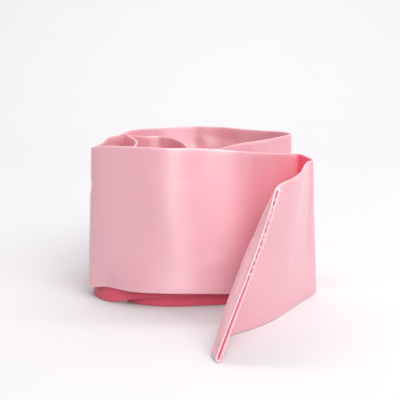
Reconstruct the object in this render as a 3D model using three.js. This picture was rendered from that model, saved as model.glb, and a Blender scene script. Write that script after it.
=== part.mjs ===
// Satin sash, rolled up and standing on its long edge.
//
// One flat double-ply band is wound into a loose coil from the inside out.
// Its outer end turns back on itself at the right and runs forward as a free
// tail, which leans outwards and closes in a turned-in end hem.
//
// Millimetres, +Z up. The band stands on z = 0, +X is to the right of someone
// who faces the coil's front, and +Y points to its back.

import * as THREE from 'three';

// ---------------------------------------------------------------- sizes
const BAND_WIDTH = 100.0;    // finished width of the band, edge to edge
const WALL = 2.0;            // two plies with their turned seam allowances
const SEAM_GAP = 0.3;        // clearance between neighbouring stretches
const STEP = 6.0;            // spacing of cross-sections along the band
const ROWS = 4;              // steps across the band's width

const HEM_LENGTH = 6.0;      // turned-in hem at the tail's free end
const HEM_LIP = 1.55;        // thickness of each folded lip of the hem
const HEM_GROOVE = 0.7;      // slot between the two lips
const HEM_DEPTH = 3.6;       // depth of that slot

const ORIGIN_X = 2.916;      // middle of the footprint, in the coil's frame
const ORIGIN_Y = -54.799;

// ---------------------------------------------------------------- layout
// The free tail, from its tip to the turn. x and y place the band's lower
// edge, lift is that edge's height, reachX and reachY say how far the upper
// edge leans away from it, and rise is the height of the upper edge above it.
// bow is how far the band swells to the right, most of all two thirds up.
const TAIL = [
  { at: 'tip',         x:  10.7, y: -187.5, lift: 0.0, reachX:  36.3, reachY:  31.5, rise:  97.0, bow: 1.8 },
  { at: 'hook',        x:   8.1, y: -174.5, lift: 0.0, reachX:  38.8, reachY:  24.0, rise:  95.6, bow: -1.2 },
  { at: 'sway',        x:  11.6, y: -154.0, lift: 0.0, reachX:  38.2, reachY:  15.5, rise:  96.3, bow: -0.4 },
  { at: 'bow',         x:  21.5, y: -138.5, lift: 0.0, reachX:  33.0, reachY:   9.0, rise:  97.0, bow: 0.4 },
  { at: 'mid',         x:  33.0, y: -127.0, lift: 0.0, reachX:  28.5, reachY:   8.5, rise:  98.0, bow: 0.6 },
  { at: 'flank',       x:  47.5, y: -110.0, lift: 0.0, reachX:  18.8, reachY:   6.0, rise:  98.6, bow: 0.3 },
  { at: 'side',        x:  60.0, y:  -88.5, lift: 0.0, reachX:   9.5, reachY:  -0.5, rise:  99.5, bow: 0.0 },
  { at: 'in',          x:  73.5, y:  -63.5, lift: 0.0, reachX:   1.5, reachY:  -1.0, rise:  99.6, bow: 0.0 },
  { at: 'turn_in',     x:  82.5, y:  -48.0, lift: 0.0, reachX:  -3.5, reachY:  -7.5, rise:  99.3, bow: 0.0 },
  { at: 'turn',        x:  85.0, y:  -39.0, lift: 0.0, reachX:  -6.5, reachY:  -8.0, rise:  99.4, bow: 0.0 },
  { at: 'turn_out',    x:  80.5, y:  -30.5, lift: 0.0, reachX:  -5.7, reachY:  -2.5, rise: 100.0, bow: 0.0 },
];

// The coil, from the turn to the loose inner loop. sweep is the angle wound so
// far, from +X by way of the front; radius places the lower edge, lift is its
// height, and lean is how far the upper edge stands out (minus: in).
const COIL = [
  { sweep:  22.0, radius: 76.5, lift:  0.3, lean:   0.0 },
  { sweep:  45.0, radius: 71.5, lift:  3.6, lean:  -2.0 },
  { sweep:  66.0, radius: 76.6, lift:  7.2, lean:  -3.0 },
  { sweep:  88.0, radius: 80.6, lift: 10.2, lean:  -5.0 },
  { sweep: 104.0, radius: 85.5, lift: 11.1, lean:  -2.0 },
  { sweep: 120.0, radius: 91.0, lift: 11.3, lean:  -4.0 },
  { sweep: 134.5, radius: 94.0, lift: 10.6, lean:  -5.0 },
  { sweep: 144.0, radius: 96.5, lift:  8.4, lean:  -5.0 },
  { sweep: 151.0, radius: 89.5, lift:  7.4, lean:  -4.5 },
  { sweep: 161.0, radius: 80.0, lift:  7.6, lean:  -4.0 },
  { sweep: 177.6, radius: 71.5, lift:  9.4, lean:  -3.0 },
  { sweep: 204.4, radius: 73.0, lift:  7.2, lean:  -2.0 },
  { sweep: 223.0, radius: 76.5, lift:  9.0, lean:  -2.0 },
  { sweep: 241.0, radius: 78.0, lift:  8.9, lean:  -2.0 },
  { sweep: 257.3, radius: 78.5, lift:  9.6, lean:  -2.0 },
  { sweep: 283.0, radius: 76.0, lift:  9.4, lean:  -2.0 },
  { sweep: 306.6, radius: 73.0, lift:  8.8, lean:  -2.0 },
  { sweep: 329.0, radius: 73.5, lift:  9.6, lean:  -2.0 },
  { sweep: 341.0, radius: 75.0, lift: 10.2, lean:  -2.0 },
  { sweep: 350.0, radius: 73.0, lift: 10.2, lean:  -2.0 },
  { sweep: 371.5, radius: 58.0, lift:  9.2, lean:  -4.0 },
  { sweep: 409.0, radius: 58.0, lift:  9.0, lean: -17.0 },
  { sweep: 434.0, radius: 74.2, lift:  9.6, lean: -25.0 },
  { sweep: 448.0, radius: 77.2, lift:  8.8, lean: -13.0 },
  { sweep: 464.4, radius: 82.3, lift:  7.2, lean: -12.0 },
  { sweep: 480.6, radius: 87.6, lift:  4.6, lean: -14.0 },
  { sweep: 490.8, radius: 92.2, lift:  1.2, lean: -21.0 },
  { sweep: 503.0, radius: 91.5, lift:  0.0, lean: -28.0 },
  { sweep: 512.0, radius: 87.0, lift:  0.0, lean: -29.0 },
  { sweep: 524.8, radius: 75.0, lift:  2.2, lean: -21.0 },
  { sweep: 540.0, radius: 65.0, lift:  7.2, lean: -18.0 },
  { sweep: 562.0, radius: 66.0, lift:  9.3, lean:  -3.5 },
];

// The loose inner loop, from the coil's left side to the inner end, in the
// tail's columns.
const INNER = [
  { at: 'left',        x: -56.0, y:   37.7, lift: 6.3, reachX:   1.5, reachY:  -1.0, rise: 100.0, bow: 0.0 },
  { at: 'back_left',   x: -44.5, y:   48.5, lift: 4.2, reachX:   0.5, reachY:  -0.5, rise: 100.0, bow: 0.0 },
  { at: 'back',        x: -31.0, y:   51.0, lift: 3.8, reachX:   0.0, reachY:   0.0, rise: 100.0, bow: 0.0 },
  { at: 'crown',       x: -21.0, y:   43.5, lift: 3.0, reachX:   0.0, reachY:   0.0, rise: 100.0, bow: 0.0 },
  { at: 'fall',        x: -14.0, y:   29.0, lift: 1.8, reachX:   0.0, reachY:   0.0, rise: 100.0, bow: 0.0 },
  { at: 'cross',       x:  -8.5, y:    9.0, lift: 0.8, reachX:  -0.5, reachY:   2.0, rise: 100.0, bow: 0.0 },
  { at: 'lean_in',     x:  -2.0, y:  -15.0, lift: 0.0, reachX:  -4.0, reachY:   6.0, rise:  99.7, bow: 0.0 },
  { at: 'forward',     x:  13.0, y:  -40.0, lift: 0.0, reachX: -13.0, reachY:  13.0, rise:  98.3, bow: 0.0 },
  { at: 'corner',      x:  24.0, y:  -57.5, lift: 0.0, reachX: -20.0, reachY:  19.5, rise:  96.0, bow: 0.0 },
  { at: 'front_right', x:  20.5, y:  -71.0, lift: 0.0, reachX: -14.5, reachY:  21.0, rise:  96.7, bow: 0.0 },
  { at: 'front',       x:  -3.5, y:  -76.4, lift: 0.0, reachX:  -1.0, reachY:  14.5, rise:  98.7, bow: 0.0 },
  { at: 'front_left',  x: -22.0, y:  -78.0, lift: 0.0, reachX:   1.0, reachY:  13.0, rise:  99.1, bow: 0.0 },
  { at: 'near_end',    x: -39.0, y:  -73.8, lift: 0.0, reachX:   4.5, reachY:  13.0, rise:  99.0, bow: 0.0 },
  { at: 'end',         x: -50.0, y:  -66.3, lift: 0.0, reachX:   8.5, reachY:  13.5, rise:  98.7, bow: 0.0 },
];

// Where each named stretch ends: at a row of TAIL or INNER, or at a sweep of
// COIL.
const STRETCHES = [
  { node: 'tail',         tailRow: 'in' },
  { node: 'turn',         sweep: 45.0 },
  { node: 'outer_front',  sweep: 134.5 },
  { node: 'outer_left',   sweep: 223.0 },
  { node: 'outer_back',   sweep: 329.0 },
  { node: 'second_front', sweep: 448.0 },
  { node: 'second_left',  sweep: 540.0 },
  { node: 'inner_back',   innerRow: 'crown' },
  { node: 'inner_right',  innerRow: 'corner' },
  { node: 'inner_end',    innerRow: 'end' },
];

// ---------------------------------------------------------------- the path
const COLUMNS = 7;           // x, y, lift, reachX, reachY, rise, bow

function stationRows() {
  const placed = (t) => [t.x, t.y, t.lift, t.reachX, t.reachY, t.rise, t.bow];
  const rows = TAIL.map(placed);
  for (const c of COIL) {
    const a = THREE.MathUtils.degToRad(c.sweep);
    const ux = Math.cos(a), uy = -Math.sin(a);
    const rise = Math.sqrt(BAND_WIDTH ** 2 - c.lean ** 2);
    rows.push([c.radius * ux, c.radius * uy, c.lift, c.lean * ux, c.lean * uy, rise, 0]);
  }
  rows.push(...INNER.map(placed));
  return rows;
}

// Centripetal Catmull-Rom through the rows, spaced by their plan distance.
function smoothPath(rows, perSpan) {
  const mirror = (a, b) => a.map((v, k) => 2 * v - b[k]);
  const last = rows.length - 1;
  const p = [mirror(rows[0], rows[1]), ...rows, mirror(rows[last], rows[last - 1])];
  const knot = (a, b) => Math.max(Math.sqrt(Math.hypot(b[0] - a[0], b[1] - a[1])), 1e-4);
  const mix = (a, b, ta, tb, t) => a.map((v, k) => ((tb - t) * v + (t - ta) * b[k]) / (tb - ta));
  const out = [];
  for (let i = 1; i < p.length - 2; i++) {
    const [p0, p1, p2, p3] = [p[i - 1], p[i], p[i + 1], p[i + 2]];
    const t0 = 0, t1 = knot(p0, p1), t2 = t1 + knot(p1, p2), t3 = t2 + knot(p2, p3);
    for (let j = 0; j < perSpan; j++) {
      const t = t1 + ((t2 - t1) * j) / perSpan;
      const a1 = mix(p0, p1, t0, t1, t), a2 = mix(p1, p2, t1, t2, t), a3 = mix(p2, p3, t2, t3, t);
      const row = mix(mix(a1, a2, t0, t2, t), mix(a2, a3, t1, t3, t), t1, t2, t);
      row[2] = Math.max(0, row[2]);
      out.push(row);
    }
  }
  out.push(rows[last]);
  return out;
}

const PER_SPAN = 40;
const fine = smoothPath(stationRows(), PER_SPAN);
const along = [0];
for (let i = 1; i < fine.length; i++) {
  along.push(along[i - 1] + Math.hypot(fine[i][0] - fine[i - 1][0], fine[i][1] - fine[i - 1][1]));
}
const LENGTH = along[along.length - 1];

// Lower edge, lean and rise at a distance s along the band. Before the tip and
// past the inner end the path runs on straight.
function rowAt(s) {
  let lo = 0, hi = along.length - 2;
  while (lo < hi) {
    const m = (lo + hi + 1) >> 1;
    if (along[m] <= s) lo = m; else hi = m - 1;
  }
  const f = (s - along[lo]) / (along[lo + 1] - along[lo]);
  const row = [];
  for (let k = 0; k < COLUMNS; k++) row.push(fine[lo][k] + f * (fine[lo + 1][k] - fine[lo][k]));
  return row;
}

// A point of the band's middle surface, v = 0 at the lower edge and 1 at the
// upper one, bowed, and moved sideways by `aside` along the level normal.
function bandPoint(s, v, aside) {
  const r = rowAt(s);
  const out = aside - r[6] * 6.75 * v * v * (1 - v);
  const a = rowAt(s - 1.5), b = rowAt(s + 1.5);
  const dx = b[0] + b[3] * v - a[0] - a[3] * v;
  const dy = b[1] + b[4] * v - a[1] - a[4] * v;
  const len = Math.hypot(dx, dy);
  return new THREE.Vector3(
    r[0] + r[3] * v - (dy / len) * out - ORIGIN_X,
    r[1] + r[4] * v + (dx / len) * out - ORIGIN_Y,
    r[2] + r[5] * v,
  );
}

// ---------------------------------------------------------------- solids
// A closed prism: `outline` is a closed list of (s, aside) pairs, repeated at
// every row across the band, and `caps` are the triangles that fill it along
// both long edges.
function prism(outline, caps) {
  const n = outline.length;
  const pos = [];
  for (let j = 0; j <= ROWS; j++) {
    for (const [s, aside] of outline) pos.push(...bandPoint(s, j / ROWS, aside).toArray());
  }
  const idx = [];
  for (let j = 0; j < ROWS; j++) {
    for (let i = 0; i < n; i++) {
      const a = j * n + i, b = j * n + ((i + 1) % n);
      idx.push(a, b, b + n, a, b + n, a + n);
    }
  }
  const flat = outline.map(([s, aside]) => new THREE.Vector2(s, aside));
  const turn = THREE.ShapeUtils.area(flat);
  for (const tri of caps ?? THREE.ShapeUtils.triangulateShape(flat, [])) {
    const sameTurn = THREE.ShapeUtils.area(tri.map((i) => flat[i])) * turn > 0;
    const [a, b, c] = sameTurn ? tri : [tri[2], tri[1], tri[0]];
    idx.push(c, b, a, a + ROWS * n, b + ROWS * n, c + ROWS * n);
  }
  return closed(pos, idx);
}

// Index triples as a geometry whose faces point out.
function closed(pos, idx) {
  const at = (i) => new THREE.Vector3(pos[3 * i], pos[3 * i + 1], pos[3 * i + 2]);
  let volume = 0;
  for (let i = 0; i < idx.length; i += 3) {
    volume += at(idx[i]).dot(at(idx[i + 1]).cross(at(idx[i + 2]))) / 6;
  }
  if (volume < 0) {
    for (let i = 0; i < idx.length; i += 3) [idx[i], idx[i + 1]] = [idx[i + 1], idx[i]];
  }
  const geometry = new THREE.BufferGeometry();
  geometry.setAttribute('position', new THREE.Float32BufferAttribute(pos, 3));
  geometry.setIndex(idx);
  geometry.computeVertexNormals();
  return geometry;
}

// One stretch of the band between two distances along it.
function stretch(from, to) {
  const n = Math.max(2, Math.round((to - from) / STEP));
  const outline = [];
  for (let i = 0; i <= n; i++) outline.push([from + ((to - from) * i) / n, -WALL / 2]);
  for (let i = n; i >= 0; i--) outline.push([from + ((to - from) * i) / n, WALL / 2]);
  const caps = [];
  for (let i = 0; i < n; i++) {
    caps.push([i, i + 1, 2 * n - i], [i, 2 * n - i, 2 * n + 1 - i]);
  }
  return prism(outline, caps);
}

// The turned-in end: two folded lips with a slot between them, swelling from
// the band's own thickness.
function hem() {
  const lip = HEM_GROOVE / 2 + HEM_LIP;
  return prism([
    [0, -lip], [0, -HEM_GROOVE / 2], [HEM_DEPTH, -HEM_GROOVE / 2],
    [HEM_DEPTH, HEM_GROOVE / 2], [0, HEM_GROOVE / 2], [0, lip],
    [HEM_LENGTH * 0.5, lip * 0.85], [HEM_LENGTH, WALL / 2],
    [HEM_LENGTH, -WALL / 2], [HEM_LENGTH * 0.5, -lip * 0.85],
  ]);
}

// ---------------------------------------------------------------- assembly
const satin = () => new THREE.MeshStandardMaterial({ color: 0xefb3bd, roughness: 0.42, metalness: 0.0 });

function endOf(entry) {
  let row = TAIL.length + COIL.findIndex((c) => c.sweep === entry.sweep);
  if (entry.tailRow) row = TAIL.findIndex((t) => t.at === entry.tailRow);
  if (entry.innerRow) row = TAIL.length + COIL.length + INNER.findIndex((t) => t.at === entry.innerRow);
  return along[Math.min(row * PER_SPAN, along.length - 1)];
}

const sash = new THREE.Group();
sash.name = 'satin_sash';

function add(name, geometry) {
  const mesh = new THREE.Mesh(geometry, satin());
  mesh.name = name;
  sash.add(mesh);
}

add('end_hem', hem());
let from = HEM_LENGTH + SEAM_GAP;
for (const entry of STRETCHES) {
  const end = endOf(entry);
  const to = end >= LENGTH - 1e-6 ? end : end - SEAM_GAP / 2;
  add(entry.node, stretch(from, to));
  from = end + SEAM_GAP / 2;
}

export default sash;
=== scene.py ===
"""Looks of a satin sash that is rolled up and stands on its long edge.

The band's route repeats the part's own rows, in millimetres; meshes are in
metres. The sash is one closed shell, two plies thick, with a rolled edge along
both sides, a turned-in and stitched hem at each end, and soft creases that are
listed along its length.
"""

import math

import bpy
import numpy as np
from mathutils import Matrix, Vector


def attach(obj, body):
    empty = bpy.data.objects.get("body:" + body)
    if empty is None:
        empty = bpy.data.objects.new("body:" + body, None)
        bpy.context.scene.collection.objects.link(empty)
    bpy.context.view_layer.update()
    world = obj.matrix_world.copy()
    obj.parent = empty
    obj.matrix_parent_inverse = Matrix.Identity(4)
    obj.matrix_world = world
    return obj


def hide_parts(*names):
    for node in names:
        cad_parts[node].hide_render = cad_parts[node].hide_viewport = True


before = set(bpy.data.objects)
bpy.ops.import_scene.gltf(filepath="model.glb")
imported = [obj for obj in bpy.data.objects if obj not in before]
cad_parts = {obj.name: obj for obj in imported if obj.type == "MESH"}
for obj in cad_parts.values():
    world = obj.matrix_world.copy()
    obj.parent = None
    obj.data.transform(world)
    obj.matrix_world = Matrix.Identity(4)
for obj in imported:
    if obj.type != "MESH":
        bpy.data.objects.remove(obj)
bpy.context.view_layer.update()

# ------------------------------------------------------------------ sizes, mm
BAND_WIDTH = 100.0
ORIGIN = np.array([2.916, -54.799])
HALF_PLY = 0.86          # half the thickness of the pressed band
EDGE_ROLL = 0.16         # extra half thickness along the two folded edges
RIM_HALF = 1.95          # half the thickness of the hem at its rim
STEP = 1.8               # spacing of cross-sections along the band

# lower edge x, y, lift; lean of the upper edge in x and y; rise of that edge;
# and how far the band bows to the right, two thirds of the way up
TAIL = [
    (10.7, -187.5, 0, 36.3, 31.5, 97.0, 1.8),
    (8.1, -174.5, 0, 38.8, 24.0, 95.6, -1.2),
    (11.6, -154.0, 0, 38.2, 15.5, 96.3, -0.4),
    (21.5, -138.5, 0, 33.0, 9.0, 97.0, 0.4),
    (33.0, -127.0, 0, 28.5, 8.5, 98.0, 0.6),
    (47.5, -110.0, 0, 18.8, 6.0, 98.6, 0.3),
    (60.0, -88.5, 0, 9.5, -0.5, 99.5, 0.0),
    (73.5, -63.5, 0, 1.5, -1.0, 99.6, 0.0),
    (82.5, -48.0, 0, -3.5, -7.5, 99.3, 0.0),
    (85.0, -39.0, 0, -6.5, -8.0, 99.4, 0.0),
    (80.5, -30.5, 0, -5.7, -2.5, 100.0, 0.0),
]
# sweep, radius, lift, lean
COIL = [
    (22.0, 76.5, 0.3, 0.0), (45.0, 71.5, 3.6, -2.0), (66.0, 76.6, 7.2, -3.0),
    (88.0, 80.6, 10.2, -5.0), (104.0, 85.5, 11.1, -2.0), (120.0, 91.0, 11.3, -4.0),
    (134.5, 94.0, 10.6, -5.0), (144.0, 96.5, 8.4, -5.0), (151.0, 89.5, 7.4, -4.5),
    (161.0, 80.0, 7.6, -4.0), (177.6, 71.5, 9.4, -3.0), (204.4, 73.0, 7.2, -2.0),
    (223.0, 76.5, 9.0, -2.0), (241.0, 78.0, 8.9, -2.0), (257.3, 78.5, 9.6, -2.0),
    (283.0, 76.0, 9.4, -2.0), (306.6, 73.0, 8.8, -2.0), (329.0, 73.5, 9.6, -2.0),
    (341.0, 75.0, 10.2, -2.0), (350.0, 73.0, 10.2, -2.0), (371.5, 58.0, 9.2, -4.0),
    (409.0, 58.0, 9.0, -17.0), (434.0, 74.2, 9.6, -25.0), (448.0, 77.2, 8.8, -13.0),
    (464.4, 82.3, 7.2, -12.0), (480.6, 87.6, 4.6, -14.0), (490.8, 92.2, 1.2, -21.0),
    (503.0, 91.5, 0.0, -28.0), (512.0, 87.0, 0.0, -29.0), (524.8, 75.0, 2.2, -21.0),
    (540.0, 65.0, 7.2, -18.0), (562.0, 66.0, 9.3, -3.5),
]
# the loose inner loop, in the tail's columns
INNER = [
    (-56.0, 37.7, 6.3, 1.5, -1.0, 100.0, 0.0),
    (-44.5, 48.5, 4.2, 0.5, -0.5, 100.0, 0.0),
    (-31.0, 51.0, 3.8, 0.0, 0.0, 100.0, 0.0),
    (-21.0, 43.5, 3.0, 0.0, 0.0, 100.0, 0.0),
    (-14.0, 29.0, 1.8, 0.0, 0.0, 100.0, 0.0),
    (-8.5, 9.0, 0.8, -0.5, 2.0, 100.0, 0.0),
    (-2.0, -15.0, 0.0, -4.0, 6.0, 99.7, 0.0),
    (13.0, -40.0, 0.0, -13.0, 13.0, 98.3, 0.0),
    (24.0, -57.5, 0.0, -20.0, 19.5, 96.0, 0.0),
    (20.5, -71.0, 0.0, -14.5, 21.0, 96.7, 0.0),
    (-3.5, -76.4, 0.0, -1.0, 14.5, 98.7, 0.0),
    (-22.0, -78.0, 0.0, 1.0, 13.0, 99.1, 0.0),
    (-39.0, -73.8, 0.0, 4.5, 13.0, 99.0, 0.0),
    (-50.0, -66.3, 0.0, 8.5, 13.5, 98.7, 0.0),
]

# Soft creases: the line that each one follows, as (distance from the tail's
# rim, height on the band), then its half width and its height. Plus stands out
# on the coil's outer face, and on the tail's inner face.
CREASES = [
    # front
    ([(300, 98), (308, 73), (304, 53), (294, 35), (291, 17), (293, 1)], 13.0, 0.80),
    ([(333, 94), (335, 68), (328, 44), (318, 22)], 13.0, -1.00),
    ([(251, 99), (250, 66), (252, 42), (259, 18), (265, 2)], 14.0, 1.90),
    ([(313, 91), (305, 86), (296, 83)], 2.6, 0.16),
    ([(308, 85), (299, 80), (289, 78)], 2.8, -0.17),
    ([(302, 94), (294, 91)], 2.2, 0.12),
    ([(298, 73), (288, 70), (281, 71)], 3.4, 0.12),
    ([(262, 13), (256, 8), (250, 2)], 6.5, -0.40),
    ([(277, 20), (268, 24), (257, 22)], 5.5, 0.50),
    ([(352, 96), (355, 62), (350, 26)], 9.0, 0.60),
    ([(343, 0), (350, 2), (360, 4)], 9.0, -2.00),
    ([(336, -1), (324, -3), (312, -1)], 11.0, 2.40),
    ([(300, -3), (282, -5), (264, -4)], 15.0, 1.50),
    ([(337, 8), (330, 14), (321, 16)], 4.0, 0.35),
    ([(361, 77), (371, 73), (383, 77)], 4.5, -0.70),
    ([(243, 96), (239, 60), (244, 22)], 10.0, -0.50),
    # left side and back of the outer winding
    ([(386, 98), (388, 64), (384, 30), (386, 4)], 5.0, 0.75),
    ([(402, 92), (399, 58), (404, 26)], 7.0, -0.55),
    ([(428, 88), (436, 60), (433, 34)], 11.0, 0.60),
    ([(455, 97), (462, 74), (459, 50)], 8.0, -0.50),
    ([(470, 30), (482, 22), (497, 25)], 5.0, 0.40),
    ([(505, 96), (500, 66), (507, 30), (503, 6)], 12.0, 0.80),
    ([(520, 98), (523, 84), (519, 58)], 7.0, -1.20),
    ([(543, 97), (542, 84), (544, 64)], 5.0, 0.50),
    ([(552, 99), (551, 88), (553, 70), (549, 44)], 5.5, -0.50),
    ([(567, 99), (568, 88), (565, 70), (569, 46)], 8.0, 0.60),
    ([(584, 98), (588, 80), (585, 50)], 7.0, -0.90),
    ([(602, 97), (600, 76), (605, 48)], 8.0, -0.90),
    ([(553, 92), (564, 90), (577, 90)], 3.6, 1.00),
    ([(538, 86), (547, 84)], 3.6, 0.80),
    ([(486, 80), (515, 77), (545, 79), (578, 76)], 13.0, -2.00),
    ([(540, 44), (549, 28), (545, 6)], 9.0, -0.60),
    ([(585, 14), (600, 8), (613, 12)], 5.5, 0.60),
    ([(618, 90), (628, 77), (640, 73)], 4.0, -0.30),
    # right side and front run of the second winding
    ([(655, 98), (652, 62), (656, 20), (653, 2)], 5.0, 0.55),
    ([(676, 90), (682, 60), (678, 28)], 8.0, -0.50),
    ([(704, 99), (698, 84), (701, 58)], 7.0, 0.60),
    ([(722, 96), (716, 58), (723, 22)], 9.0, 0.45),
    ([(745, 80), (752, 52), (748, 24)], 8.0, -0.45),
    ([(772, 97), (777, 84), (786, 76)], 5.0, 0.40),
    ([(804, 50), (812, 34), (810, 12)], 9.0, 0.40),
    ([(836, 94), (842, 72), (851, 60)], 6.0, -0.40),
    # left side of the second winding, then the loose inner loop
    ([(868, 97), (872, 70), (867, 38)], 6.0, 0.45),
    ([(893, 88), (888, 56), (895, 20)], 7.0, -0.45),
    ([(917, 97), (911, 64), (918, 30)], 8.0, 0.45),
    ([(938, 99), (940, 80), (936, 50)], 6.0, -0.60),
    ([(955, 98), (953, 82), (957, 52)], 6.0, 0.70),
    ([(972, 97), (974, 76), (970, 44)], 7.0, -0.60),
    ([(1004, 98), (999, 70), (1005, 34)], 9.0, 0.70),
    ([(1030, 98), (1036, 72), (1032, 36)], 8.0, -0.70),
    ([(1060, 96), (1055, 66), (1062, 20)], 7.0, 0.55),
    ([(1096, 97), (1098, 60), (1095, 18)], 6.0, 0.40),
    ([(1130, 60), (1136, 36), (1132, 10)], 8.0, -0.40),
    ([(1152, 90), (1156, 62), (1152, 30)], 7.0, 0.40),
    # turn and tail
    ([(170, 98), (172, 62), (169, 24), (171, 2)], 4.5, -0.45),
    ([(154, 88), (150, 56), (154, 22)], 8.0, 0.55),
    ([(136, 70), (131, 42), (137, 12)], 9.0, -0.50),
    ([(60, 98), (55, 84), (46, 70), (41, 52)], 5.5, -0.85),
    ([(78, 96), (72, 76), (66, 58)], 8.0, 0.55),
    ([(105, 94), (100, 66), (104, 34)], 11.0, -0.60),
    ([(55, 30), (65, 16), (75, 5)], 7.0, -0.70),
    ([(36, 40), (42, 24), (47, 8)], 6.0, 0.55),
    ([(15, 93), (16, 84), (14, 71)], 11.0, 0.80),
    ([(10, 62), (10, 40), (9, 12)], 8.0, 2.50),
    ([(22, 62), (25, 50), (21, 36)], 6.0, 0.40),
]

# ------------------------------------------------------------------ the route
rows = [list(map(float, r)) for r in TAIL]
for sweep, radius, lift, lean in COIL:
    a = math.radians(sweep)
    c, s = math.cos(a), -math.sin(a)
    rows.append([radius * c, radius * s, lift, lean * c, lean * s,
                 math.sqrt(BAND_WIDTH ** 2 - lean ** 2), 0.0])
rows = np.array(rows + [list(map(float, r)) for r in INNER])


def through(points, per_span=40):
    """A smooth curve through the rows, with even bends where they are close."""
    p = np.vstack([2 * points[0] - points[1], points, 2 * points[-1] - points[-2]])
    out = []
    for i in range(1, len(p) - 2):
        quad = p[i - 1:i + 3]
        gap = np.maximum(np.sqrt(np.hypot(*np.diff(quad[:, :2], axis=0).T)), 1e-4)
        t0, t1, t2, t3 = 0.0, gap[0], gap[0] + gap[1], gap.sum()
        for k in range(per_span):
            t = t1 + (t2 - t1) * k / per_span
            a1 = (t1 - t) / (t1 - t0) * quad[0] + (t - t0) / (t1 - t0) * quad[1]
            a2 = (t2 - t) / (t2 - t1) * quad[1] + (t - t1) / (t2 - t1) * quad[2]
            a3 = (t3 - t) / (t3 - t2) * quad[2] + (t - t2) / (t3 - t2) * quad[3]
            b1 = (t2 - t) / (t2 - t0) * a1 + (t - t0) / (t2 - t0) * a2
            b2 = (t3 - t) / (t3 - t1) * a2 + (t - t1) / (t3 - t1) * a3
            out.append((t2 - t) / (t2 - t1) * b1 + (t - t1) / (t2 - t1) * b2)
    out.append(points[-1])
    out = np.array(out)
    out[:, 2] = np.maximum(out[:, 2], 0.0)
    return out


route = through(rows)
along = np.concatenate([[0.0], np.cumsum(np.hypot(*np.diff(route[:, :2], axis=0).T))])
LENGTH = along[-1]


def row_at(s):
    """The route's row at distance s, carried straight on past either end."""
    s = np.asarray(s, float)
    flat = np.stack([np.interp(s, along, route[:, k]) for k in range(7)], -1)
    first = (route[1] - route[0]) / along[1]
    last = (route[-1] - route[-2]) / (along[-1] - along[-2])
    flat += np.minimum(s, 0.0)[..., None] * first
    flat += np.maximum(s - LENGTH, 0.0)[..., None] * last
    flat[..., 2] = np.maximum(flat[..., 2], 0.0)
    return flat


# ------------------------------------------------------------------ the cloth
def crease_field(s, w):
    """How far the cloth stands out of its plain run, at each (s, w)."""
    total = np.zeros(np.broadcast(s, w).shape)
    for line, wide, high in CREASES:
        pts = np.array(line, float)
        lengths = np.hypot(*np.diff(pts, axis=0).T)
        run = np.concatenate([[0.0], np.cumsum(lengths)])
        reach = 3.2 * wide + 6
        near = ((s > pts[:, 0].min() - reach) & (s < pts[:, 0].max() + reach)
                & (w > pts[:, 1].min() - reach) & (w < pts[:, 1].max() + reach))
        if not near.any():
            continue
        ps, pw = np.broadcast_to(s, near.shape)[near], np.broadcast_to(w, near.shape)[near]
        best = np.full(ps.shape, 1e9)
        where = np.zeros(ps.shape)
        for i in range(len(pts) - 1):
            d = pts[i + 1] - pts[i]
            t = ((ps - pts[i, 0]) * d[0] + (pw - pts[i, 1]) * d[1]) / (d @ d)
            t = np.clip(t, 0.0, 1.0)
            gap = np.hypot(ps - pts[i, 0] - d[0] * t, pw - pts[i, 1] - d[1] * t)
            closer = gap < best
            best = np.where(closer, gap, best)
            where = np.where(closer, run[i] + lengths[i] * t, where)
        share = where / run[-1]
        swell = 0.62 + 0.38 * np.sin(math.pi * np.clip(share, 0, 1)) ** 0.8
        total[near] += high * swell * np.exp(-(best / wide) ** 2)
    return total


def ripple(s, w):
    """The slight unevenness of pressed satin, long along the band."""
    return (0.10 * np.sin(s / 23.0 + 0.6 * np.sin(w / 31.0)) * np.sin(w / 37.0 + 1.1)
            + 0.07 * np.sin(s / 11.7 + w / 19.0 + 2.0) * np.sin(w / 27.0 - s / 61.0)
            + 0.05 * np.sin(s / 7.9 - w / 13.0 + 0.7) * np.sin(s / 41.0 + 0.3))


def plain(s, w):
    r = row_at(s)
    v = w / BAND_WIDTH
    x = r[..., 0] + r[..., 3] * v - ORIGIN[0]
    y = r[..., 1] + r[..., 4] * v - ORIGIN[1]
    z = r[..., 2] + r[..., 5] * v
    before, after = row_at(s - 1.5), row_at(s + 1.5)
    dx = after[..., 0] - before[..., 0] + (after[..., 3] - before[..., 3]) * v
    dy = after[..., 1] - before[..., 1] + (after[..., 4] - before[..., 4]) * v
    swell = -r[..., 6] * 6.75 * v * v * (1 - v) / np.hypot(dx, dy)
    return np.stack([x - dy * swell, y + dx * swell, z], -1)


def normal(points, s, w):
    ds = np.gradient(points, s, axis=0)
    dw = np.gradient(points, w, axis=1)
    n = np.cross(dw, ds)
    return n / np.linalg.norm(n, axis=-1, keepdims=True)


def smooth(edge0, edge1, x):
    t = np.clip((x - edge0) / (edge1 - edge0), 0.0, 1.0)
    return t * t * (3 - 2 * t)


def cloth(s, w):
    """Middle surface and its normal over the grid s by w."""
    S, Wd = s[:, None] + 0 * w[None, :], w[None, :] + 0 * s[:, None]
    p = plain(S, Wd)
    n = normal(p, s, w)
    quiet = smooth(-2, 9, S) * smooth(-2, 9, LENGTH - S)
    p = p + n * ((crease_field(S, Wd) + ripple(S, Wd)) * quiet)[..., None]
    return p, normal(p, s, w)


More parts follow.
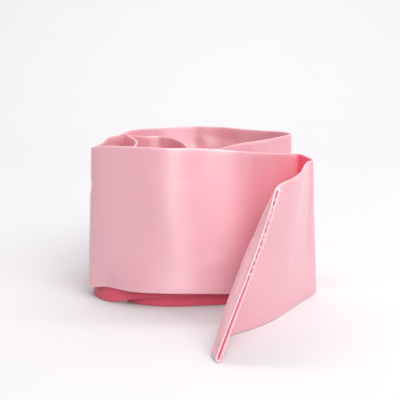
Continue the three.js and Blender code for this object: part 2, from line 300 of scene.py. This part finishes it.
# sections round the band: w across it and side from +1, one face, to -1
FACE = 44
bend = np.linspace(0, math.pi, 9)[1:-1]
EDGE = 1.0
t = np.linspace(0, 1, FACE)
face_w = EDGE + (BAND_WIDTH - 2 * EDGE) * (t + 0.35 * (t - t * t) * (2 * t - 1) * -1)
ring_w = np.concatenate([
    face_w, BAND_WIDTH - EDGE + EDGE * np.sin(bend),
    face_w[::-1], EDGE - EDGE * np.sin(bend)])
ring_side = np.concatenate([
    np.ones(FACE), np.cos(bend), -np.ones(FACE), -np.cos(bend)])
all_w, pick = np.unique(np.round(ring_w, 6), return_inverse=True)
RING = len(ring_w)


def half_thickness(s, w):
    """Half the band's thickness: rolled at its edges, swelling into each hem."""
    edge = np.minimum(w, BAND_WIDTH - w)
    h = HALF_PLY + EDGE_ROLL * np.exp(-((edge - 2.4) / 1.7) ** 2)
    end = np.minimum(s, LENGTH - s)
    tuck = 11.0 + 1.6 * np.sin(w / 9.0 + 0.8) + 1.1 * np.sin(w / 4.3)
    h = h + 0.26 * (1 - smooth(tuck, tuck + 5.0, end))
    uneven = 1 + 0.10 * np.sin(w / 3.4 + 0.5) * np.sin(w / 8.3) + 0.07 * np.sin(w / 1.6 + 1.0)
    bead = (RIM_HALF - HALF_PLY - 0.26) * uneven * (1 - smooth(1.1, 2.9, end))
    channel = -0.20 * np.exp(-((end - 3.1) / 0.8) ** 2)
    return h + (bead + channel) * (1 - 0.18 * np.exp(-(edge / 3.0) ** 2))


# The hem at an end, from its lips into the slot between them: distance from
# the rim, part of the rim's half thickness, and how far the slot's ends stop
# short of the band's edges.
LIPS = [(0.85, 1.00, 0.0), (0.38, 0.95, 0.12), (0.10, 0.80, 0.35), (0.0, 0.58, 0.7),
        (0.08, 0.40, 1.1), (0.35, 0.29, 1.5), (1.0, 0.23, 1.8), (2.2, 0.19, 2.0), (3.6, 0.15, 2.2)]

body_s = np.linspace(0.85, LENGTH - 0.85, int(round((LENGTH - 1.7) / STEP)) + 1)
extra = np.array([1.2, 1.6, 2.1, 2.6, 3.1, 3.6, 4.2, 5.0, 6.0])
body_s = np.unique(np.round(np.concatenate([body_s, extra, LENGTH - extra]), 4))
mid, nrm = cloth(body_s, all_w)
H = half_thickness(body_s[:, None], all_w[None, :])
stack, uvs, painted_slot_shade = [], [], []


def lip_rings(at_tail):
    made = []
    probe = np.array([0.0, 0.4, 0.9, 1.6, 2.6, 3.8])
    s_near = probe if at_tail else LENGTH - probe[::-1]
    p, n = cloth(s_near, all_w)
    for depth, part, short in LIPS[1:]:
        s_here = depth if at_tail else LENGTH - depth
        i = np.clip(np.searchsorted(s_near, s_here) - 1, 0, len(s_near) - 2)
        f = (s_here - s_near[i]) / (s_near[i + 1] - s_near[i])
        pw = p[i] * (1 - f) + p[i + 1] * f
        nw = n[i]
        w = short + ring_w * (BAND_WIDTH - 2 * short) / BAND_WIDTH
        here = np.stack([np.interp(w, all_w, pw[:, k]) for k in range(3)], -1)
        facing = np.stack([np.interp(w, all_w, nw[:, k]) for k in range(3)], -1)
        h = half_thickness(np.full_like(w, 0.85), np.clip(w, 0, BAND_WIDTH))
        # the stitches draw the lips together here and there
        drawn = (0.5 + 0.5 * np.cos(w / 2.9 * 2 * math.pi + 0.9 * np.sin(w / 6.1))) ** 1.6
        inside = smooth(0.6, 0.3, np.full_like(w, part))
        squeeze = 1 - inside * 0.80 * drawn * smooth(30, 55, w) * (0.85 - 0.35 * np.sin(w / 7.0))
        shift = 0.30 * inside
        made.append((here + facing * ((h * part * squeeze * ring_side + shift)[:, None]),
                     np.stack([np.full_like(w, s_here), w], -1), inside))
    return made


tail_lips = lip_rings(True)
far_lips = lip_rings(False)
# the last two lists mark where shade is painted: in the hem's slot, and inside the turn between the
# tail and the front
verts, uv, slot_shade, turn_shade = [], [], [], []
for pts, coords, inside in reversed(tail_lips):
    verts.append(pts), uv.append(coords), slot_shade.append(inside), turn_shade.append(0 * inside)
for i, s in enumerate(body_s):
    off = (H[i][pick] * ring_side)[:, None]
    verts.append(mid[i][pick] + nrm[i][pick] * off)
    uv.append(np.stack([np.full(RING, s), ring_w], -1))
    slot_shade.append(np.zeros(RING))
    # painted shade inside the turn between the tail and the front
    turn_shade.append(smooth(158, 168, s) * (1 - smooth(188, 197, s)) * (ring_side > 0.3))
for pts, coords, inside in far_lips:
    verts.append(pts), uv.append(coords), slot_shade.append(inside), turn_shade.append(0 * inside)
rings = len(verts)
verts, uv, slot_shade, turn_shade = (np.concatenate(part) for part in (verts, uv, slot_shade, turn_shade))
verts[:, 2] = np.maximum(verts[:, 2], 0.02)

faces = []
for i in range(rings - 1):
    a, b = i * RING, (i + 1) * RING
    for k in range(RING):
        m = (k + 1) % RING
        faces.append((a + k, b + k, b + m, a + m))
nb = len(bend)
for base, turn in ((0, False), ((rings - 1) * RING, True)):
    one = [base + RING - nb // 2 - 1] + [base + RING - 1 - j for j in range(nb // 2)][::-1]
    left = [base + RING - nb // 2 + j for j in range(nb // 2)] + [base + k for k in range(FACE)] \
        + [base + FACE + j for j in range(nb // 2)]
    right = [base + RING - nb // 2 - 2 - j for j in range(nb // 2)] \
        + [base + 2 * FACE + nb - 1 - k for k in range(FACE)] \
        + [base + FACE + nb - 1 - j for j in range(nb // 2)]
    low = base + RING - nb // 2 - 1
    high = base + FACE + nb // 2
    caps = [(low, left[0], right[0])]
    for j in range(len(left) - 1):
        caps.append((left[j], left[j + 1], right[j + 1], right[j]))
    caps.append((left[-1], high, right[-1]))
    for cap in caps:
        faces.append(tuple(reversed(cap)) if turn else cap)


def mesh_object(name, points, polys, smooth_shade=True):
    mesh = bpy.data.meshes.new(name)
    mesh.from_pydata([tuple(p) for p in np.asarray(points) / 1000.0], [], polys)
    mesh.update()
    if smooth_shade:
        mesh.polygons.foreach_set("use_smooth", [True] * len(mesh.polygons))
    obj = bpy.data.objects.new(name, mesh)
    bpy.context.scene.collection.objects.link(obj)
    return obj


sash = mesh_object("sash_band", verts, faces)
layer = sash.data.uv_layers.new(name="UVMap")
index = np.empty(len(sash.data.loops), int)
sash.data.loops.foreach_get("vertex_index", index)
layer.data.foreach_set("uv", (uv[index] / 1000.0).astype(np.float32).ravel())
for name, values in (("painted_slot_shade", slot_shade), ("painted_turn_shade", turn_shade)):
    mark = sash.data.attributes.new(name, "FLOAT", "POINT")
    mark.data.foreach_set("value", values.astype(np.float32))

# ------------------------------------------------------------------ stitches
thread_v, thread_f = [], []


def stitch(a, b, up, radius=0.24, lift=0.16, sides=6, parts=6):
    """One short raised stitch from a to b, sunk at both ends."""
    a, b, up = np.array(a), np.array(b), np.array(up)
    d = b - a
    long = np.linalg.norm(d)
    d = d / long
    side = np.cross(up, d)
    side /= np.linalg.norm(side)
    up = np.cross(d, side)
    base = len(thread_v)
    for i in range(parts + 1):
        f = i / parts
        arch = math.sin(math.pi * f)
        r = radius * (0.55 + 0.45 * arch ** 0.5)
        c = a + d * long * f + up * (lift * arch - 0.10)
        for k in range(sides):
            q = 2 * math.pi * k / sides
            thread_v.append(c + (side * math.cos(q) + up * math.sin(q)) * r)
    for i in range(parts):
        for k in range(sides):
            m = (k + 1) % sides
            o = base + i * sides
            thread_f.append((o + k, o + m, o + sides + m, o + sides + k))
    thread_f.append(tuple(base + k for k in reversed(range(sides))))
    thread_f.append(tuple(base + parts * sides + k for k in range(sides)))


def stitch_row(at_tail, face, inset, start, stop, pitch, length):
    probe = np.array([inset - 0.4, inset, inset + 0.4])
    s_line = probe if at_tail else LENGTH - probe[::-1]
    fine = np.linspace(0.5, BAND_WIDTH - 0.5, 400)
    p, n = cloth(s_line, fine)
    h = half_thickness(np.full_like(fine, inset), fine)
    line = p[1] + n[1] * (face * h)[:, None]
    w, k = start, 0
    while w + length < stop:
        drift = 0.12 * math.sin(k * 2.3) + 0.08 * math.sin(k * 5.1)
        ends = []
        for edge in (w + drift, w + length + drift):
            ends.append([np.interp(edge, fine, line[:, j]) for j in range(3)])
        at = int(np.clip(np.searchsorted(fine, w + length / 2), 0, 399))
        stitch(ends[0], ends[1], n[1][at] * face)
        w += pitch * (1 + 0.05 * math.sin(k * 1.7))
        k += 1


def slot_stitches(at_tail, start, stop, pitch, length):
    """Stitches that lie in the hem's slot and part it into dashes."""
    probe = np.array([0.0, 0.2, 0.6])
    s_line = probe if at_tail else LENGTH - probe[::-1]
    fine = np.linspace(0.5, BAND_WIDTH - 0.5, 400)
    p, n = cloth(s_line, fine)
    line = p[1] + n[1] * 0.30
    out = (p[0] - p[2]) * (1 if at_tail else -1)
    w, k = start, 0
    while w + length < stop:
        ends = [[np.interp(e, fine, line[:, j]) for j in range(3)] for e in (w, w + length)]
        at = int(np.clip(np.searchsorted(fine, w + length / 2), 0, 399))
        stitch(ends[0], ends[1], out[at] / np.linalg.norm(out[at]), radius=0.46, lift=0.10)
        w += pitch * (1 + 0.10 * math.sin(k * 2.1) + 0.06 * math.sin(k * 4.7))
        k += 1


for tail_end in (True, False):
    stitch_row(tail_end, -1.0, 1.7, 2.4, 98.0, 3.0, 2.1)
    stitch_row(tail_end, 1.0, 1.7, 3.6, 98.0, 3.0, 2.1)
    slot_stitches(tail_end, 49.0, 97.5, 3.9, 1.7)
thread = mesh_object("hem_stitches", thread_v, thread_f)


# ------------------------------------------------------------------ materials
def nodes_of(name):
    mat = bpy.data.materials.new(name)
    mat.use_nodes = True
    return mat, mat.node_tree.nodes, mat.node_tree.links


def math_node(nodes, links, kind, a, b=None):
    node = nodes.new("ShaderNodeMath")
    node.operation = kind
    for k, value in enumerate((a, b)):
        if value is None:
            continue
        if hasattr(value, "is_output"):
            links.new(value, node.inputs[k])
        else:
            node.inputs[k].default_value = value
    return node.outputs[0]


def stretched_noise(nodes, links, coords, scale, detail=2.0, rough=0.5):
    place = nodes.new("ShaderNodeMapping")
    place.inputs["Scale"].default_value = scale
    links.new(coords, place.inputs["Vector"])
    noise = nodes.new("ShaderNodeTexNoise")
    noise.inputs["Scale"].default_value = 1.0
    noise.inputs["Detail"].default_value = detail
    noise.inputs["Roughness"].default_value = rough
    links.new(place.outputs["Vector"], noise.inputs["Vector"])
    return noise.outputs["Fac"]


def satin_material(name, ior, level, stretch, sheen):
    """Rose satin, glossier or duller."""
    mat, nodes, links = nodes_of(name)
    shader = nodes["Principled BSDF"]
    shader.inputs["Roughness"].default_value = 0.42
    shader.inputs["IOR"].default_value = ior
    shader.inputs["Specular IOR Level"].default_value = level
    shader.inputs["Anisotropic"].default_value = stretch
    shader.inputs["Anisotropic Rotation"].default_value = 0.25
    shader.inputs["Sheen Weight"].default_value = sheen
    shader.inputs["Subsurface Weight"].default_value = 0.30
    shader.inputs["Subsurface Radius"].default_value = (1.0, 0.30, 0.40)
    shader.inputs["Subsurface Scale"].default_value = 0.004
    shader.inputs["Sheen Roughness"].default_value = 0.35
    shader.inputs["Sheen Tint"].default_value = (1.0, 0.88, 0.91, 1.0)
    uv_node = nodes.new("ShaderNodeUVMap")
    uv_node.uv_map = "UVMap"
    tangent = nodes.new("ShaderNodeTangent")
    tangent.direction_type = "UV_MAP"
    tangent.uv_map = "UVMap"
    links.new(tangent.outputs["Tangent"], shader.inputs["Tangent"])
    coords = uv_node.outputs["UV"]
    place3 = nodes.new("ShaderNodeTexCoord").outputs["Object"]

    cloudy = stretched_noise(nodes, links, place3, (26.0, 26.0, 20.0), 3.0)
    streak = stretched_noise(nodes, links, coords, (26.0, 820.0, 1.0), 3.0, 0.6)
    fine = stretched_noise(nodes, links, coords, (160.0, 3600.0, 1.0), 1.0)
    tone = math_node(nodes, links, "ADD",
                     math_node(nodes, links, "MULTIPLY", cloudy, 0.75),
                     math_node(nodes, links, "MULTIPLY", streak, 0.25))
    ramp = nodes.new("ShaderNodeValToRGB")
    ramp.color_ramp.elements[0].position = 0.30
    ramp.color_ramp.elements[0].color = (0.845, 0.386, 0.455, 1)
    ramp.color_ramp.elements[1].position = 0.70
    ramp.color_ramp.elements[1].color = (0.875, 0.432, 0.498, 1)
    links.new(tone, ramp.inputs["Fac"])

    # painted shade: the inner windings are darkened towards a deep red where they stand in shade
    # under the outer winding, most of all low down
    split = nodes.new("ShaderNodeSeparateXYZ")
    links.new(coords, split.inputs[0])
    painted_shade_inner = nodes.new("ShaderNodeMapRange")
    painted_shade_inner.inputs["From Min"].default_value = 0.680
    painted_shade_inner.inputs["From Max"].default_value = 0.735
    links.new(split.outputs["X"], painted_shade_inner.inputs["Value"])
    low = nodes.new("ShaderNodeMapRange")
    low.inputs["From Min"].default_value = 0.022
    low.inputs["From Max"].default_value = 0.065
    low.inputs["To Min"].default_value = 1.0
    low.inputs["To Max"].default_value = 0.30
    links.new(split.outputs["Y"], low.inputs["Value"])
    painted_shade_mix = nodes.new("ShaderNodeMix")
    painted_shade_mix.data_type = "RGBA"
    shaded = math_node(nodes, links, "MULTIPLY", painted_shade_inner.outputs["Result"], low.outputs["Result"])
    links.new(shaded, painted_shade_mix.inputs["Factor"])
    links.new(ramp.outputs["Color"], painted_shade_mix.inputs["A"])
    painted_shade_mix.inputs["B"].default_value = (0.72, 0.12, 0.18, 1)
    # the folded edges are a little paler: partly wear from pressing and handling, partly a painted
    # highlight; this fades out towards the band's inner end and where shade is painted
    across = math_node(nodes, links, "MINIMUM", split.outputs["Y"],
                       math_node(nodes, links, "SUBTRACT", BAND_WIDTH / 1000.0, split.outputs["Y"]))
    pale = nodes.new("ShaderNodeMapRange")
    pale.inputs["From Min"].default_value = 0.0026
    pale.inputs["From Max"].default_value = 0.0003
    pale.inputs["To Min"].default_value = 0.0
    pale.inputs["To Max"].default_value = 0.36
    links.new(across, pale.inputs["Value"])
    edge_pale_reach = nodes.new("ShaderNodeMapRange")
    edge_pale_reach.inputs["From Min"].default_value = 0.925
    edge_pale_reach.inputs["From Max"].default_value = 0.955
    edge_pale_reach.inputs["To Min"].default_value = 1.0
    edge_pale_reach.inputs["To Max"].default_value = 0.15
    links.new(split.outputs["X"], edge_pale_reach.inputs["Value"])
    # the hem's lips at the tail end get a painted highlight
    lips = nodes.new("ShaderNodeMapRange")
    lips.inputs["From Min"].default_value = 0.0056
    lips.inputs["From Max"].default_value = 0.0014
    lips.inputs["To Min"].default_value = 0.0
    lips.inputs["To Max"].default_value = 0.66
    links.new(split.outputs["X"], lips.inputs["Value"])
    wear_and_highlight = nodes.new("ShaderNodeMix")
    wear_and_highlight.data_type = "RGBA"
    links.new(math_node(nodes, links, "MAXIMUM", lips.outputs["Result"],
                        math_node(nodes, links, "MULTIPLY", pale.outputs["Result"],
                                  math_node(nodes, links, "MULTIPLY", edge_pale_reach.outputs["Result"],
                                            math_node(nodes, links, "SUBTRACT", 1.0, shaded)))),
              wear_and_highlight.inputs["Factor"])
    links.new(painted_shade_mix.outputs["Result"], wear_and_highlight.inputs["A"])
    wear_and_highlight.inputs["B"].default_value = (0.93, 0.56, 0.61, 1)
    # painted shade in the slot of the hem: its colour is darkened there
    slot_shade_mark = nodes.new("ShaderNodeAttribute")
    slot_shade_mark.attribute_name = "painted_slot_shade"
    slot_mix = nodes.new("ShaderNodeMix")
    slot_mix.data_type = "RGBA"
    links.new(slot_shade_mark.outputs["Fac"], slot_mix.inputs["Factor"])
    links.new(wear_and_highlight.outputs["Result"], slot_mix.inputs["A"])
    slot_mix.inputs["B"].default_value = (0.90, 0.28, 0.38, 1)
    # and painted shade inside the turn between the tail and the front
    turn_shade_mark = nodes.new("ShaderNodeAttribute")
    turn_shade_mark.attribute_name = "painted_turn_shade"
    turn_shade_mix = nodes.new("ShaderNodeMix")
    turn_shade_mix.data_type = "RGBA"
    links.new(turn_shade_mark.outputs["Fac"], turn_shade_mix.inputs["Factor"])
    links.new(slot_mix.outputs["Result"], turn_shade_mix.inputs["A"])
    turn_shade_mix.inputs["B"].default_value = (0.93, 0.15, 0.24, 1)
    links.new(turn_shade_mix.outputs["Result"], shader.inputs["Base Color"])

    rough = nodes.new("ShaderNodeMapRange")
    rough.inputs["To Min"].default_value = 0.40
    rough.inputs["To Max"].default_value = 0.46
    links.new(streak, rough.inputs["Value"])
    links.new(rough.outputs["Result"], shader.inputs["Roughness"])

    # bump: the fine floats of the weave, long slubs, and soft hand creases
    weave = nodes.new("ShaderNodeBump")
    weave.inputs["Strength"].default_value = 0.30
    weave.inputs["Distance"].default_value = 0.00006
    links.new(fine, weave.inputs["Height"])
    slubs = nodes.new("ShaderNodeBump")
    slubs.inputs["Strength"].default_value = 0.10
    slubs.inputs["Distance"].default_value = 0.00012
    links.new(streak, slubs.inputs["Height"])
    links.new(weave.outputs["Normal"], slubs.inputs["Normal"])
    soft = nodes.new("ShaderNodeBump")
    soft.inputs["Strength"].default_value = 0.35
    soft.inputs["Distance"].default_value = 0.0010
    links.new(stretched_noise(nodes, links, place3, (55.0, 55.0, 70.0), 2.0), soft.inputs["Height"])
    links.new(slubs.outputs["Normal"], soft.inputs["Normal"])
    links.new(soft.outputs["Normal"], shader.inputs["Normal"])
    return mat


# a duller, less glossy copy of the satin paints shade: low on the inner windings' outer face,
# and inside the turn
sash.data.materials.append(satin_material("rose_satin", 2.0, 0.95, 0.85, 0.18))
sash.data.materials.append(satin_material("rose_satin_shaded", 1.45, 0.25, 0.40, 0.05))
corner = np.array([f[0] for f in faces])
at_s, at_w = uv[corner].T
on_side = np.tile(ring_side, rings)[corner]
shaded_faces = ((at_s > 700) & (at_w < 28) & (on_side > -0.5)) | (
    (at_s > 160) & (at_s < 193) & (on_side > 0.3))
sash.data.polygons.foreach_set("material_index", shaded_faces.astype(np.int32))

cotton, nodes, links = nodes_of("pale_rose_thread")
shader = nodes["Principled BSDF"]
shader.inputs["Roughness"].default_value = 0.55
shader.inputs["Sheen Weight"].default_value = 0.25
place3 = nodes.new("ShaderNodeTexCoord").outputs["Object"]
twist = stretched_noise(nodes, links, place3, (2600.0, 2600.0, 1400.0), 2.0)
ramp = nodes.new("ShaderNodeValToRGB")
ramp.color_ramp.elements[0].position = 0.35
ramp.color_ramp.elements[0].color = (0.84, 0.46, 0.52, 1)
ramp.color_ramp.elements[1].position = 0.65
ramp.color_ramp.elements[1].color = (0.94, 0.66, 0.70, 1)
links.new(twist, ramp.inputs["Fac"])
links.new(ramp.outputs["Color"], shader.inputs["Base Color"])
bump = nodes.new("ShaderNodeBump")
bump.inputs["Strength"].default_value = 0.5
bump.inputs["Distance"].default_value = 0.0001
links.new(twist, bump.inputs["Height"])
links.new(bump.outputs["Normal"], shader.inputs["Normal"])
thread.data.materials.append(cotton)

# ------------------------------------------------------------------ the stage
paper, nodes, links = nodes_of("white_paper")
shader = nodes["Principled BSDF"]
shader.inputs["Base Color"].default_value = (0.72, 0.712, 0.725, 1)
shader.inputs["Roughness"].default_value = 0.85
shader.inputs["Specular IOR Level"].default_value = 0.2

profile = [(-3.0, 0.0), (0.75, 0.0)]
for k in range(1, 13):
    q = math.pi / 2 * k / 12
    profile.append((0.75 + 0.5 * math.sin(q), 0.5 - 0.5 * math.cos(q)))
profile.append((1.25, 3.0))
sweep_v = [(1000 * x, 1000 * y, 1000 * z) for x in (-3.0, 3.0) for y, z in profile]
count = len(profile)
sweep_f = [(i, count + i, count + i + 1, i + 1) for i in range(count - 1)]
floor = mesh_object("floor", sweep_v, sweep_f)
floor.data.materials.append(paper)

world = bpy.data.worlds.new("studio")
bpy.context.scene.world = world
world.use_nodes = True
world.node_tree.nodes["Background"].inputs["Color"].default_value = (1.0, 0.985, 1.0, 1)
world.node_tree.nodes["Background"].inputs["Strength"].default_value = 0.235


def area_light(name, place, target, size, power, colour=(1, 1, 1)):
    data = bpy.data.lights.new(name, "AREA")
    data.shape = "RECTANGLE"
    data.size, data.size_y = size
    data.energy = power
    data.color = colour
    lamp = bpy.data.objects.new(name, data)
    lamp.location = place
    lamp.rotation_euler = (Vector(target) - Vector(place)).to_track_quat("-Z", "Y").to_euler()
    bpy.context.scene.collection.objects.link(lamp)
    return lamp


area_light("far_front", (0.48, -1.48, 1.20), (0.0, -0.02, 0.05), (1.2, 1.0), 11.0)
area_light("low_front", (-0.12, -1.22, 0.60), (0.0, -0.02, 0.05), (0.8, 0.6), 1.9)
area_light("front", (0.40, -0.62, 1.00), (0.0, -0.02, 0.05), (0.9, 0.8), 7.4)
area_light("left", (-0.90, -0.25, 0.55), (0.0, -0.02, 0.05), (0.8, 0.7), 0.8)
area_light("right", (0.90, -0.10, 0.60), (0.0, -0.02, 0.05), (0.8, 0.7), 1.3)
area_light("backdrop", (0.0, 0.62, 1.70), (0.0, 1.20, 0.55), (2.0, 0.4), 22.0)

# ------------------------------------------------------------------ the camera
lens = bpy.data.cameras.new("camera")
lens.sensor_width = 36.0
lens.lens = 916.85 / 400.0 * 36.0
lens.clip_start, lens.clip_end = 0.01, 20.0
camera = bpy.data.objects.new("camera", lens)
camera.location = ((0.61 - ORIGIN[0]) / 1000.0, (-690.0 - ORIGIN[1]) / 1000.0, 0.18919)
camera.rotation_euler = (math.radians(90.0 - 10.55), 0.0, 0.0)
bpy.context.scene.collection.objects.link(camera)
bpy.context.scene.camera = camera
bpy.context.scene.view_settings.view_transform = "Standard"

# ------------------------------------------------------------------ hand over
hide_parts("end_hem", "tail", "turn", "outer_front", "outer_left", "outer_back",
            "second_front", "second_left", "inner_back", "inner_right", "inner_end")
for piece in (sash, thread):
    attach(piece, "root")
